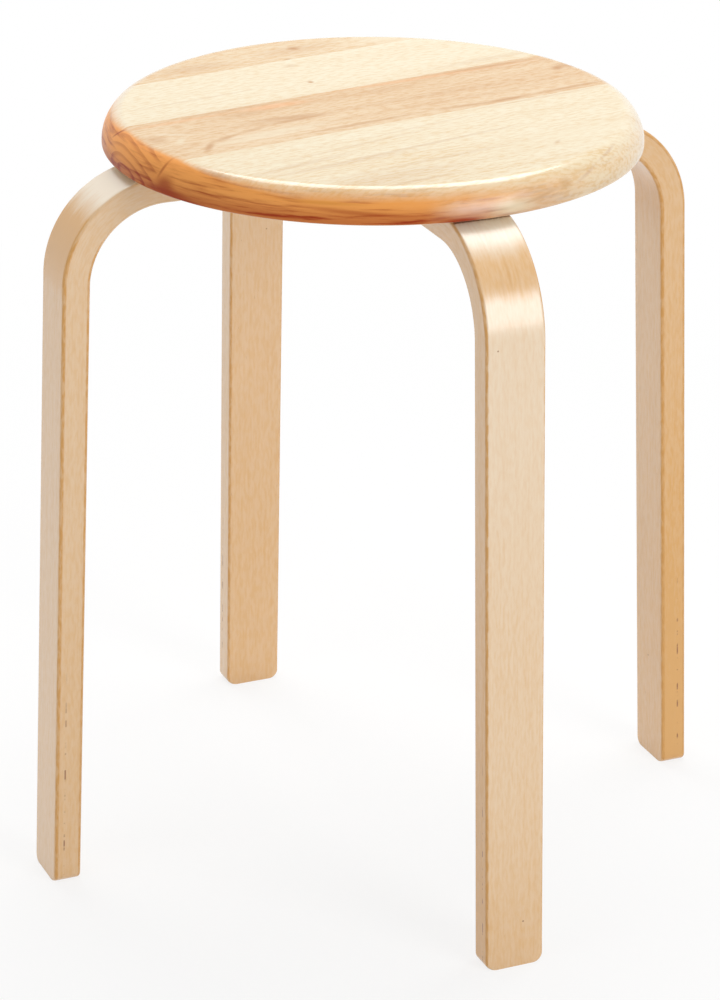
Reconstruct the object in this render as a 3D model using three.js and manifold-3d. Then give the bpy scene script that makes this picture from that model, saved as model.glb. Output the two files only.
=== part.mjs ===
// Round stacking stool: an edge-glued solid wood seat on four bent plywood legs.
// Millimetres, +Z up. The origin is on the floor under the middle of the seat.
// The right leg stands on +X, the back leg on +Y, the left leg on -X and the front leg on -Y.

import * as THREE from "three";
import { mergeVertices } from "three/addons/utils/BufferGeometryUtils.js";
import Module from "manifold-3d";

const wasm = await Module();
wasm.setup();

// Whole stool
const stoolHeight = 450;

// Seat
const seatDiameter = 310;
const seatThickness = 19.5;
const topRoundWidth = 9.6;
const undersideRound = 1.5;
const edgeStraight = 0.5;

// Seat boards: the glue joints as shares of the seat's radius, and the turn of the grain
const jointShares = [-0.548, -0.205, 0.242, 0.681];
const grainTurn = THREE.MathUtils.degToRad(8.5);

// Legs
const legWidth = 35.5;
const legThickness = 16.5;
const legReach = 55.5;
const legLean = THREE.MathUtils.degToRad(2.4);
const innerBendRadius = 45.5;
const armEndRadius = 40;
const legEdgeRound = 2;
const footCornerRound = 5;

// Countersunk screws that hold each arm to the seat
const screwDiameter = 4;
const screwHeadDiameter = 8;
const screwHeadRim = 0.4;
const screwHeadRecess = 0.3;
const screwTipLength = 4;
const screwBiteShare = 0.64;
const screwRowShares = [0.22, 0.82];
const screwPairShare = 0.5;
const slotWidth = 1.2;
const slotSpanShare = 0.6;
const slotDepthShare = 0.7;

// Fits
const holeClearance = 0.3;
const overrun = 1;

// Facets
const seatSegments = 120;
const roundSegments = 8;
const undersideSegments = 2;
const bendSegments = 20;
const edgeSegments = 3;
const cornerSegments = 5;
const screwSegments = 16;

// Sizes that follow from the ones above
const seatRadius = seatDiameter / 2;
const topRoundDrop = seatThickness - undersideRound - edgeStraight;
const topRoundRadius = (topRoundWidth ** 2 + topRoundDrop ** 2) / (2 * topRoundWidth);
const topRoundTurn = Math.asin(topRoundDrop / topRoundRadius);
const undersideHeight = stoolHeight - seatThickness;
const armUnderHeight = undersideHeight - legThickness;
const outerBendRadius = innerBendRadius + legThickness;
const footOuterRadius = seatRadius + legReach;
const footThickness = legThickness / Math.cos(legLean);
const bendHeight = undersideHeight - outerBendRadius;
const bendStart = bendCentreRadius();
const screwRadius = screwDiameter / 2;
const screwHeadRadius = screwHeadDiameter / 2;
const screwHeadHeight = screwHeadRim + screwHeadRadius - screwRadius;
const screwBite = seatThickness * screwBiteShare;
const screwLength = legThickness - screwHeadRecess + screwBite;
const screwPlaces = screwPattern();

// The leg's outer face runs from the floor up to the bend, leaning in towards the seat.
function outerFaceRadius(height) {
  return footOuterRadius - height * Math.tan(legLean);
}

// The bend's centre lies one outer radius inside that leaning face.
function bendCentreRadius() {
  return outerFaceRadius(bendHeight) - outerBendRadius / Math.cos(legLean);
}

// One screw near the bend and a pair near the arm's inner end, as distances along and across the arm.
function screwPattern() {
  const flat = bendStart - armEndRadius;
  const [pairShare, singleShare] = screwRowShares;
  const pairReach = armEndRadius + flat * pairShare;
  const singleReach = armEndRadius + flat * singleShare;
  const side = (legWidth * screwPairShare) / 2;
  return [
    { reach: pairReach, side: side },
    { reach: pairReach, side: -side },
    { reach: singleReach, side: 0 },
  ];
}

// Solids to and from three.js geometry
function toSolid(geometry) {
  const bare = geometry.clone();
  bare.deleteAttribute("normal");
  bare.deleteAttribute("uv");
  const merged = mergeVertices(bare);
  return new wasm.Manifold(
    new wasm.Mesh({
      numProp: 3,
      vertProperties: merged.attributes.position.array,
      triVerts: new Uint32Array(merged.index.array),
    }),
  );
}

function toGeometry(solid) {
  const mesh = solid.getMesh();
  const geometry = new THREE.BufferGeometry();
  geometry.setAttribute("position", new THREE.BufferAttribute(mesh.vertProperties, 3));
  geometry.setIndex(new THREE.BufferAttribute(mesh.triVerts, 1));
  const faceted = geometry.toNonIndexed();
  faceted.computeVertexNormals();
  return faceted;
}

// A round bar standing on z = 0
function bar(radius, length, segments) {
  const geometry = new THREE.CylinderGeometry(radius, radius, length, segments);
  geometry.rotateX(Math.PI / 2);
  geometry.translate(0, 0, length / 2);
  return geometry;
}

// Seat disc, with its underside on z = 0. One deep arc runs from the edge, where it is upright, up to
// the flat top, which it meets at a crisp angle. A small round eases the lower edge.
function seatDisc() {
  const profile = [new THREE.Vector2(0, 0)];
  for (let i = 0; i <= undersideSegments; i++) {
    const turn = (i / undersideSegments) * (Math.PI / 2);
    profile.push(
      new THREE.Vector2(
        seatRadius - undersideRound * (1 - Math.sin(turn)),
        undersideRound * (1 - Math.cos(turn)),
      ),
    );
  }
  for (let i = 0; i <= roundSegments; i++) {
    const turn = (i / roundSegments) * topRoundTurn;
    profile.push(
      new THREE.Vector2(
        seatRadius - topRoundRadius * (1 - Math.cos(turn)),
        seatThickness - topRoundDrop + topRoundRadius * Math.sin(turn),
      ),
    );
  }
  profile.push(new THREE.Vector2(0, seatThickness));
  const geometry = new THREE.LatheGeometry(profile, seatSegments);
  geometry.rotateX(Math.PI / 2);
  return toSolid(geometry);
}

// Pilot holes for every screw, in the seat's own frame, where the grain lies along X
function pilotHoles() {
  const holes = [];
  for (let leg = 0; leg < 4; leg++) {
    for (const place of screwPlaces) {
      const hole = bar(screwRadius + holeClearance, screwBite + holeClearance + overrun, screwSegments);
      hole.translate(place.reach, place.side, -overrun);
      hole.rotateZ((leg * Math.PI) / 2 - grainTurn);
      holes.push(toSolid(hole));
    }
  }
  return holes;
}

// The disc sawn along the glue joints, front board first
function seatBoards() {
  let blank = seatDisc();
  for (const hole of pilotHoles()) {
    blank = blank.subtract(hole);
  }
  const joints = jointShares.map((share) => share * seatRadius);
  const edges = [-seatRadius - overrun, ...joints, seatRadius + overrun];
  const boards = [];
  for (let i = 0; i + 1 < edges.length; i++) {
    const width = edges[i + 1] - edges[i];
    const length = seatDiameter + 2 * overrun;
    const height = seatThickness + 2 * overrun;
    const strip = new THREE.BoxGeometry(length, width, height);
    strip.translate(0, edges[i] + width / 2, seatThickness / 2);
    boards.push(toGeometry(blank.intersect(toSolid(strip))));
  }
  return boards;
}

// Leg seen from its side, from the foot up the outer face, round the bend, along the arm and back
function legOutline() {
  const outline = new THREE.Shape();
  outline.moveTo(footOuterRadius - footThickness, 0);
  outline.lineTo(footOuterRadius, 0);
  outline.absarc(bendStart, bendHeight, outerBendRadius, legLean, Math.PI / 2, false);
  outline.lineTo(armEndRadius, undersideHeight);
  outline.lineTo(armEndRadius, armUnderHeight);
  outline.absarc(bendStart, bendHeight, innerBendRadius, Math.PI / 2, legLean, true);
  outline.closePath();
  return outline;
}

// What is left outside a rounded corner of the foot, on the +Y side of a foot that stands on the origin
function footCornerWaste() {
  const half = legWidth / 2;
  const waste = new THREE.Shape();
  waste.moveTo(half + overrun, -overrun);
  waste.lineTo(half + overrun, footCornerRound);
  waste.lineTo(half, footCornerRound);
  waste.absarc(half - footCornerRound, footCornerRound, footCornerRound, 0, -Math.PI / 2, true);
  waste.lineTo(half - footCornerRound, -overrun);
  waste.closePath();
  const through = footThickness + 2 * overrun;
  const geometry = new THREE.ExtrudeGeometry(waste, {
    depth: through,
    bevelEnabled: false,
    curveSegments: cornerSegments,
  });
  geometry.translate(0, 0, -through / 2);
  geometry.rotateX(Math.PI / 2);
  geometry.rotateZ(Math.PI / 2);
  return geometry;
}

// One bent leg, standing on +X
function legGeometry() {
  const geometry = new THREE.ExtrudeGeometry(legOutline(), {
    depth: legWidth - 2 * legEdgeRound,
    bevelEnabled: true,
    bevelThickness: legEdgeRound,
    bevelSize: legEdgeRound,
    bevelOffset: -legEdgeRound,
    bevelSegments: edgeSegments,
    curveSegments: bendSegments,
  });
  geometry.translate(0, 0, legEdgeRound - legWidth / 2);
  geometry.rotateX(Math.PI / 2);
  let leg = toSolid(geometry);
  for (const turn of [0, Math.PI]) {
    const waste = footCornerWaste();
    waste.rotateZ(turn);
    waste.translate(footOuterRadius - footThickness / 2, 0, 0);
    leg = leg.subtract(toSolid(waste));
  }
  for (const place of screwPlaces) {
    const hole = countersunkHole();
    hole.translate(place.reach, place.side, armUnderHeight);
    leg = leg.subtract(toSolid(hole));
  }
  return toGeometry(leg);
}

// Hole through the arm with its countersink, from the underside on z = 0
function countersunkHole() {
  const wide = screwHeadRadius + holeClearance;
  const narrow = screwRadius + holeClearance;
  const shoulder = screwHeadRecess + screwHeadRim;
  const profile = [
    new THREE.Vector2(0, -overrun),
    new THREE.Vector2(wide, -overrun),
    new THREE.Vector2(wide, shoulder),
    new THREE.Vector2(narrow, shoulder + wide - narrow),
    new THREE.Vector2(narrow, legThickness + overrun),
    new THREE.Vector2(0, legThickness + overrun),
  ];
  const geometry = new THREE.LatheGeometry(profile, screwSegments);
  geometry.rotateX(Math.PI / 2);
  return geometry;
}

// Countersunk wood screw pointing up, with the flat of its head on z = 0
function screwGeometry() {
  const profile = [
    new THREE.Vector2(0, 0),
    new THREE.Vector2(screwHeadRadius, 0),
    new THREE.Vector2(screwHeadRadius, screwHeadRim),
    new THREE.Vector2(screwRadius, screwHeadHeight),
    new THREE.Vector2(screwRadius, screwLength - screwTipLength),
    new THREE.Vector2(0, screwLength),
  ];
  const body = new THREE.LatheGeometry(profile, screwSegments);
  body.rotateX(Math.PI / 2);
  let screw = toSolid(body);
  const span = screwHeadDiameter * slotSpanShare;
  const depth = screwHeadHeight * slotDepthShare;
  for (const [length, width] of [[span, slotWidth], [slotWidth, span]]) {
    const slot = new THREE.BoxGeometry(length, width, depth + overrun);
    slot.translate(0, 0, (depth - overrun) / 2);
    screw = screw.subtract(toSolid(slot));
  }
  return toGeometry(screw);
}

// Finishes: clear lacquer over wood, and plain zinc-plated steel
function lacqueredWood(colour) {
  return new THREE.MeshStandardMaterial({ color: colour, roughness: 0.3, metalness: 0 });
}

const creamWood = lacqueredWood(0xf0dfbb);
const tanWood = lacqueredWood(0xe3bd92);
const rosyWood = lacqueredWood(0xe0b184);
const plywood = lacqueredWood(0xdcbb98);
const zincSteel = new THREE.MeshStandardMaterial({ color: 0xb9bcc0, roughness: 0.35, metalness: 1 });

// The stool
const stool = new THREE.Group();

const seat = new THREE.Group();
seat.position.z = undersideHeight;
seat.rotation.z = grainTurn;
stool.add(seat);

const boardFinishes = [creamWood, creamWood, rosyWood, creamWood, tanWood];
seatBoards().forEach((geometry, i) => {
  const board = new THREE.Mesh(geometry, boardFinishes[i]);
  board.name = "seat_board_" + (i + 1);
  seat.add(board);
});

const legShape = legGeometry();
const screwShape = screwGeometry();
["right", "back", "left", "front"].forEach((side, i) => {
  const corner = new THREE.Group();
  corner.rotation.z = (i * Math.PI) / 2;
  stool.add(corner);

  const leg = new THREE.Mesh(legShape, plywood);
  leg.name = "leg_" + side;
  corner.add(leg);

  screwPlaces.forEach((place, j) => {
    const screw = new THREE.Mesh(screwShape, zincSteel);
    screw.name = "screw_" + side + "_" + (j + 1);
    screw.position.set(place.reach, place.side, armUnderHeight + screwHeadRecess);
    corner.add(screw);
  });
});

export default stool;
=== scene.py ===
"""Round stacking stool: a lacquered solid wood seat on four bent plywood legs."""

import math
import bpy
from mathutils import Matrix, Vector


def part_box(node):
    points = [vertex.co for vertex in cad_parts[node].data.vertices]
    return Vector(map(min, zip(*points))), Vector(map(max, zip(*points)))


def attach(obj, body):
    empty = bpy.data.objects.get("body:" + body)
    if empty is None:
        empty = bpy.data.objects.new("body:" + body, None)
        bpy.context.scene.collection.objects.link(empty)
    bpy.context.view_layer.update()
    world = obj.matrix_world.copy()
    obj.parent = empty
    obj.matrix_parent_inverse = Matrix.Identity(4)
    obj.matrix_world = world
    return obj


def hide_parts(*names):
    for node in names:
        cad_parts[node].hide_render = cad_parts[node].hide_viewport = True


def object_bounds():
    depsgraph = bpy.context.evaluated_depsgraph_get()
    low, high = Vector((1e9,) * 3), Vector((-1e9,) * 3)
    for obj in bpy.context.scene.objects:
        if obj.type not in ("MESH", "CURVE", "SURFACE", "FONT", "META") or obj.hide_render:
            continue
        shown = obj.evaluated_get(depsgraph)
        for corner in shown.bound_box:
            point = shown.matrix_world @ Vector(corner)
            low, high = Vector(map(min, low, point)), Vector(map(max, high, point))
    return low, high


bl_info = {
    "name": "Stacking Stool",
    "version": (1, 0, 0),
    "blender": (4, 5, 0),
    "location": "View3D > Sidebar > Stool",
    "description": "Builds the seat boards, bent legs, screws and studio of a round stacking stool",
    "category": "Add Mesh",
}

from functools import partial

import bmesh
import bpy
from bpy.props import FloatProperty, FloatVectorProperty, IntProperty, PointerProperty, StringProperty
from mathutils import Matrix, Vector

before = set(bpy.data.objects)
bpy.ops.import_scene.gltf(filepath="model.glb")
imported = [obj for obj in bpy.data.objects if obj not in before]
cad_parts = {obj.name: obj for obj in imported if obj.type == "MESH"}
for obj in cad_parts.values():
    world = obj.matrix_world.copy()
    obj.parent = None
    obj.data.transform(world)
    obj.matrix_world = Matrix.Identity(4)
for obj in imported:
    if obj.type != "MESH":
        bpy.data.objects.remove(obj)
CAD_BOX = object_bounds()

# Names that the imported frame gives
SIDES = ("right", "back", "left", "front")
BOARDS = sorted(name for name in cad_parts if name.startswith("seat_board_"))
BODY = "root"
STOOL_TOP = CAD_BOX[1].z
FOOT_RADIUS = CAD_BOX[1].x

MM = 0.001
TO_MM = (1 / MM, 1 / MM, 1 / MM)

# Mesh fineness
SEAT_SEGMENTS = 288
ROUND_STEPS = 18
UNDER_STEPS = 6
CREASE_STEPS = 5
BEND_STEPS = 64
ARRIS_STEPS = 7
CORNER_STEPS = 8
SCREW_SEGMENTS = 48
SHARP_ANGLE = math.radians(32)

# How far a cut runs past the wood, and how near two points become one
OVERRUN = 1 * MM
MERGE_DISTANCE = MM / 1000


# Sizes and colours that a user would change

def millimetres(name, description, value):
    """A length, with its default in millimetres."""
    return FloatProperty(name=name, description=description, default=value * MM, unit="LENGTH")


def factor(name, description, value):
    """A share from 0 to 1."""
    return FloatProperty(
        name=name, description=description, default=value, min=0, max=1, subtype="FACTOR")


def hex_colour(name, description, value):
    """A colour as an sRGB hex value."""
    return StringProperty(name=name, description=description, default=value)


class StoolSeatSizes(bpy.types.PropertyGroup):
    """Sizes of the seat and of its boards"""

    diameter: millimetres("Diameter", "Across the seat", 310)
    thickness: millimetres("Thickness", "Thickness of the boards", 19.5)
    round_width: millimetres("Round width", "How far the edge's arc runs in", 9.6)
    edge_straight: millimetres("Edge straight", "Height of the upright edge", 0.5)
    under_round: millimetres("Under round", "Radius of the lower edge", 1.5)
    crease: millimetres("Crease", "Radius that eases the arc into the flat top", 10)
    grain_turn: FloatProperty(
        name="Grain turn", description="Turn of the grain from the left and right legs",
        default=math.radians(8.5), subtype="ANGLE")
    joint_shares: FloatVectorProperty(
        name="Joints", description="Glue joints as shares of the radius, front one first",
        default=(-0.548, -0.205, 0.242, 0.681), size=4)


class StoolLegSizes(bpy.types.PropertyGroup):
    """Sizes of one bent leg"""

    width: millimetres("Width", "Width of the leg", 35.5)
    thickness: millimetres("Thickness", "Thickness of the plies together", 16.5)
    lean: FloatProperty(
        name="Lean", description="Lean of the shank towards the seat",
        default=math.radians(2.4), subtype="ANGLE")
    inner_bend: millimetres("Inner bend", "Radius inside the bend", 45.5)
    arm_end: millimetres("Arm end", "Distance from the middle to the arm's end", 40)
    arris: millimetres("Arris", "Round on the long edges", 2)
    foot_corner: millimetres("Foot corner", "Round on the foot's lower corners", 5)


class StoolScrewSizes(bpy.types.PropertyGroup):
    """Sizes of the countersunk screws"""

    diameter: millimetres("Diameter", "Across the shank", 4)
    head: millimetres("Head", "Across the head", 8)
    rim: millimetres("Rim", "Straight edge of the head", 0.4)
    recess: millimetres("Recess", "Depth of the head below the wood", 0.3)
    tip: millimetres("Tip", "Length of the tapered tip", 4)
    bite_share: factor("Bite", "Share of the seat's thickness that the screw enters", 0.64)
    room: millimetres("Room", "Clearance round the screw", 0.3)
    slot_width: millimetres("Slot width", "Width of the cross recess", 1.2)
    slot_span_share: factor("Slot span", "Length of the recess as a share of the head", 0.6)
    slot_depth_share: factor("Slot depth", "Depth of the recess as a share of the head", 0.7)
    turn_seed: IntProperty(
        name="Turn seed", description="Seed of the turns at which the screws stopped", default=7)


class StoolColours(bpy.types.PropertyGroup):
    """Colours as sRGB hex values"""

    # Also paints part of a painted reflection on the front of the turned edge.
    cream: hex_colour("Cream", "Palest seat boards", "E9DCBC")
    cream_dark: hex_colour("Cream grain", "Late wood of pale boards", "DAB880")
    rosy: hex_colour("Rosy", "Middle seat board", "E3C79B")
    rosy_dark: hex_colour("Rosy grain", "Late wood of the middle board", "CC9954")
    tan: hex_colour("Tan", "Back seat board", "E4CFA8")
    tan_dark: hex_colour("Tan grain", "Late wood of the back board", "D2A25E")
    rim: hex_colour("Rim", "Turned edge, where lacquer soaks in", "F0A254")
    # Also the colour of a painted shadow under the seat's edge, over the front leg's arm.
    rim_dark: hex_colour("Rim grain", "Late wood of the turned edge", "9A3404")
    knot: hex_colour("Knot", "Knots and dark grain lines", "B87A10")
    # Painted reflection of the front softbox, drawn as pale pinkish patches on the front of the turned
    # edge.
    painted_reflection_pink: hex_colour("Pink", "Pale patches of the turned edge", "E6C2AF")
    ply_pale: hex_colour("Ply pale", "Palest veneer of the legs", "EEDFC8")
    ply_warm: hex_colour("Ply warm", "Warmest veneer of the legs", "D9A560")
    ply_band: hex_colour("Ply band", "Eased arris, where the outer veneer shows", "CC9448")
    # Also the colour of a painted shadow on the front leg's arm, under the seat's edge.
    glue: hex_colour("Glue", "Dark gaps in the glue lines", "8A5430")
    zinc: hex_colour("Zinc", "Screws", "B9BCC0")
    zinc_dull: hex_colour("Dull zinc", "Mottle of the screws", "A8ABAE")


def to_linear(hex_value):
    """Linear RGBA of an sRGB hex value."""
    channels = [int(hex_value[i:i + 2], 16) / 255 for i in (0, 2, 4)]
    linear = [c / 12.92 if c <= 0.04045 else ((c + 0.055) / 1.055) ** 2.4 for c in channels]
    return (*linear, 1.0)


# Derived sizes, the same for meshes and materials

def under_height(seat):
    return STOOL_TOP - seat.thickness


def outer_bend(leg):
    return leg.inner_bend + leg.thickness


def bend_height(seat, leg):
    return under_height(seat) - outer_bend(leg)


def bend_start(seat, leg):
    """Distance of the bend's centre from the stool's middle."""
    face = FOOT_RADIUS - bend_height(seat, leg) * math.tan(leg.lean)
    return face - outer_bend(leg) / math.cos(leg.lean)


def screw_places():
    """Middles of the screw heads of every leg, read from the frame."""
    places = {}
    for side in SIDES:
        names = sorted(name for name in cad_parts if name.startswith("screw_" + side))
        corners = [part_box(name) for name in names]
        places[side] = [Vector(((lo.x + hi.x) / 2, (lo.y + hi.y) / 2, lo.z)) for lo, hi in corners]
    return places


def new_object(name, data):
    made = bpy.data.objects.new(name, data)
    bpy.context.scene.collection.objects.link(made)
    return made


# Building nodes

# Places of inputs that share their name with others: the two colours of a Mix node, and the largest
# number of a Random Value node
FIRST, SECOND = 6, 7
LARGEST = 3


def add(tree, kind, links=None, **settings):
    """Adds a node. Settings set its properties. Links give its inputs a value, a socket, a node that
    stands for its first output, or a list of those that are all joined."""
    made = tree.nodes.new(kind)
    for name, value in settings.items():
        setattr(made, name, value)
    for key, value in (links or {}).items():
        for item in value if isinstance(value, list) else [value]:
            if isinstance(item, bpy.types.Node):
                item = next(socket for socket in item.outputs if socket.enabled)
            if isinstance(item, bpy.types.NodeSocket):
                tree.links.new(item, made.inputs[key])
            else:
                made.inputs[key].default_value = item
    return made


def new_geometry_tree(name, sockets):
    """A geometry tree with named inputs, given as name and socket type."""
    tree = bpy.data.node_groups.new(name, "GeometryNodeTree")
    tree.interface.new_socket("Geometry", in_out="INPUT", socket_type="NodeSocketGeometry")
    for label, kind in sockets:
        tree.interface.new_socket(label, in_out="INPUT", socket_type="NodeSocket" + kind)
    tree.interface.new_socket("Geometry", in_out="OUTPUT", socket_type="NodeSocketGeometry")
    return tree


def run_tree(tree, places, tool, values):
    """Runs a tree on points, and returns the result as a plain mesh. The tool is the object that it
    puts at the points, and goes with them."""
    points = bpy.data.meshes.new(tree.name)
    points.from_pydata(places, [], [])
    carrier = new_object(tree.name, points)
    modifier = carrier.modifiers.new(tree.name, "NODES")
    modifier.node_group = tree
    values = {"Tool": tool, **values}
    for item in tree.interface.items_tree:
        if item.in_out == "INPUT" and item.name in values:
            modifier[item.identifier] = values[item.name]
    bpy.context.view_layer.update()
    evaluated = carrier.evaluated_get(bpy.context.evaluated_depsgraph_get())
    mesh = bpy.data.meshes.new_from_object(evaluated)
    carrier.modifiers.remove(modifier)
    for used in (carrier, tool):
        bpy.data.objects.remove(used)
    return mesh


# Building meshes

def lathe(profile, segments):
    """A closed round solid from a profile of radius and height, which starts and ends on the axis. A
    last point that lies over the one before makes a tip."""
    solid = bmesh.new()
    turns = [2 * math.pi * i / segments for i in range(segments)]
    rings = [
        [solid.verts.new((radius * math.cos(t), radius * math.sin(t), height)) for t in turns]
        for radius, height in profile[1:-1]]
    solid.faces.new(reversed(rings[0]))
    for low, high in zip(rings, rings[1:]):
        for i in range(segments):
            j = (i + 1) % segments
            solid.faces.new((low[i], low[j], high[j], high[i]))
    end = profile[-1][1]
    if end == profile[-2][1]:
        solid.faces.new(rings[-1])
        return solid
    tip = solid.verts.new((0, 0, end))
    for i in range(segments):
        solid.faces.new((rings[-1][i], rings[-1][(i + 1) % segments], tip))
    return solid


def saw(solid, point, normal, keep_both=False):
    """Cuts a solid on a plane. What lies on the normal's side goes, and the cut is closed."""
    everything = solid.verts[:] + solid.edges[:] + solid.faces[:]
    cut = bmesh.ops.bisect_plane(
        solid, geom=everything, plane_co=point, plane_no=normal, clear_outer=not keep_both)
    if keep_both:
        return
    edges = [item for item in cut["geom_cut"] if isinstance(item, bmesh.types.BMEdge)]
    bmesh.ops.contextual_create(solid, geom=edges)


def finish_mesh(solid, name):
    """Smooth faces with sharp cut edges, faces outwards, as a mesh."""
    bmesh.ops.recalc_face_normals(solid, faces=solid.faces)
    for face in solid.faces:
        face.smooth = True
    for edge in solid.edges:
        if len(edge.link_faces) == 2:
            edge.smooth = edge.calc_face_angle() < SHARP_ANGLE
    mesh = bpy.data.meshes.new(name)
    solid.to_mesh(mesh)
    solid.free()
    return mesh


def place_piece(piece, material, nodes):
    """Gives a finished piece its material and ties it to the frame."""
    piece.data.materials.clear()
    piece.data.materials.append(material)
    shading = piece.modifiers.new("even shading", "WEIGHTED_NORMAL")
    shading.keep_sharp = True
    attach(piece, BODY)
    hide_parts(*nodes)


# Materials

def new_material(name):
    material = bpy.data.materials.new(name)
    material.use_nodes = True
    tree = material.node_tree
    tree.nodes.clear()
    return material, tree


def lacquer(tree, colour, roughness, relief, coat, coat_roughness):
    """Clear lacquer over wood: a dull body under a smooth coat, with the pores just felt."""
    bump = add(tree, "ShaderNodeBump", {
        "Height": relief, "Strength": PORE_RELIEF, "Distance": PORE_DEPTH * MM})
    shader = add(tree, "ShaderNodeBsdfPrincipled", {
        "Base Color": colour,
        "Roughness": roughness,
        "Normal": bump,
        "Specular IOR Level": WOOD_SHINE,
        "Coat Weight": coat,
        "Coat Roughness": coat_roughness,
        "Coat IOR": LACQUER_IOR,
    })
    add(tree, "ShaderNodeOutputMaterial", {"Surface": shader})


def patches(tree, place, size, seed, detail=2.0):
    """Soft patches of a size in millimetres along, across and into the grain."""
    scaled = add(tree, "ShaderNodeMapping", {"Vector": place, "Scale": size}, vector_type="TEXTURE")
    return add(tree, "ShaderNodeTexNoise", {
        "Vector": scaled, "W": seed, "Scale": 1.0, "Detail": detail, "Roughness": PATCH_ROUGHNESS},
        noise_dimensions="4D")


def sum_tones(tree, start, rows):
    """A start value with soft changes added. Each has its pattern, the values of the pattern at which
    it begins and ends, and its size."""
    total = start
    for pattern, first, last, change in rows:
        step = add(tree, "ShaderNodeMapRange", {
            "Value": pattern, "From Min": first, "From Max": last, "To Max": change},
            interpolation_type="SMOOTHSTEP")
        total = add(tree, "ShaderNodeMath", {0: total, 1: step}, operation="ADD")
    return total


def swayed(tree, value, pattern, reach):
    """A value moved up and down by a pattern, through reach in all."""
    sway = add(tree, "ShaderNodeMapRange", {
        "Value": pattern, "To Min": -reach / 2, "To Max": reach / 2}, clamp=False)
    return add(tree, "ShaderNodeMath", {0: value, 1: sway}, operation="ADD")


def draw_marks(tree, colour, place, ragged, marks, mark_colour):
    """Draws knots and grain lines over a colour. A mark has its middle, half length and half width in
    millimetres, its turn in degrees and its strength."""
    for x, y, half_length, half_width, turn, strength in marks:
        spot = add(tree, "ShaderNodeMapping", {
            "Vector": place, "Location": (x, y, 0), "Rotation": (0, 0, math.radians(turn)),
            "Scale": (half_length, half_width, FAR)}, vector_type="TEXTURE")
        distance = add(tree, "ShaderNodeVectorMath", {0: spot}, operation="LENGTH")
        edge = swayed(tree, distance, ragged, MARK_RAGGEDNESS)
        mask = add(tree, "ShaderNodeMapRange", {
            "Value": edge, "From Min": MARK_SOLID, "From Max": MARK_END,
            "To Min": strength, "To Max": 0.0}, interpolation_type="SMOOTHSTEP")
        colour = add(tree, "ShaderNodeMix", {
            0: mask, FIRST: colour, SECOND: to_linear(mark_colour)}, data_type="RGBA")
    return colour


def rings_round(tree, place, centre, turn, spacing, sway, sway_reach):
    """Dark late wood, from 0 to 1, in rings round a centre, by their spacing along each axis."""
    centred = add(tree, "ShaderNodeMapping", {
        "Vector": place, "Location": centre, "Rotation": (0, 0, math.radians(turn)), "Scale": spacing},
        vector_type="TEXTURE")
    distance = add(tree, "ShaderNodeVectorMath", {0: centred}, operation="LENGTH")
    ring = add(tree, "ShaderNodeMath", {0: swayed(tree, distance, sway, sway_reach)}, operation="FRACT")
    return sum_tones(tree, 0.0, ((ring, *LATE_WOOD), (ring, *LATE_WOOD_END)))


# Patterns of the solid wood, in millimetres along, across and into the grain. Real fibres and pores
# are about 0.1 mm wide, too fine to show, and are drawn as coarse as they need to be to show.
BANDS = (200, 17, 17)
WARP = (143, 33, 33)
STREAKS = (62, 3.6, 3.6)
FIBRES = (7, 1.7, 1.7)
BAND_SWAY = 10
PORE_RELIEF = 0.05
PORE_DEPTH = 0.1
PATCH_ROUGHNESS = 0.55

# How the patterns show. A tone has the values of its pattern at which it begins and ends, and its
# size. A range has only the values.
BAND_RANGE = (0.38, 0.66)
STREAK_RANGE = (0.40, 0.75)
FIBRE_TONE = (0.42, 0.64, 0.50)
LATE_WOOD = (0.35, 0.90, 1.0)
LATE_WOOD_END = (0.90, 1.0, -1.0)

# Lacquer, and the wood under it, which shines little and is rougher in its streaks and fibres. The
# two dullness tones thin the coat: the end grain drinks it, and the flat top is rubbed down.
LACQUER_IOR = 1.6
WOOD_SHINE = 0.12
SEAT_ROUGHNESS = 0.32
SEAT_ROUGHER = (0.30, 0.75, 0.13)
SEAT_COAT_ROUGHNESS = 0.15
STAIN_DULLNESS = (0.0, 1.0, -0.9)
TOP_DULLNESS = (0.985, 0.999, -0.25)
LEG_ROUGHNESS = 0.34
LEG_ROUGHER = (0.30, 0.75, 0.10)
LEG_COAT_ROUGHNESS = 0.25

# Marks: the shares of their half sizes at which they begin to fade and end, and how ragged the
# streaks make them. FAR is a length that no piece reaches.
MARK_SOLID = 0.1
MARK_END = 1.2
MARK_RAGGEDNESS = 1.2
FAR = 1000

# Turned edge, in millimetres round the rim from the grain's left end and down from the top. The
# stain soaks to full strength over a depth that grows from the end to the front. Outside goes by the
# height of the normal, and the marks begin at a depth, so that none reaches the flat top.
RIM_BLOTCHES = (34, 14, 1)
RIM_STREAKS = (40, 2.5, 1)
RIM_SEED = 71
RIM_SOAK = {"From Min": 30, "From Max": 110, "To Min": 1.0, "To Max": 7.5}
RIM_FADES = ((178, 235, -0.45), (225, 310, -0.40))
RIM_FADE_SWAY = 70
RIM_DARKENING = (8, 18, 0.62)
RIM_STREAK_TONE = (0.45, 0.75, 0.8)
RIM_OUTSIDE = {"From Min": -0.95, "From Max": -0.6}
RIM_MARKS_BEGIN = {"From Min": 0.2, "From Max": 1.0}
END_ARCS = {"centre": (12, 17, 0), "turn": -6, "spacing": (12, 3.8, FAR)}
END_ARCS_SWAY = 0.6
END_ARCS_MIDDLE = 10
END_ARCS_FADE = (20, 38, -1.0)
END_ARCS_TONE = (0.0, 1.0, 0.35)
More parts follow.
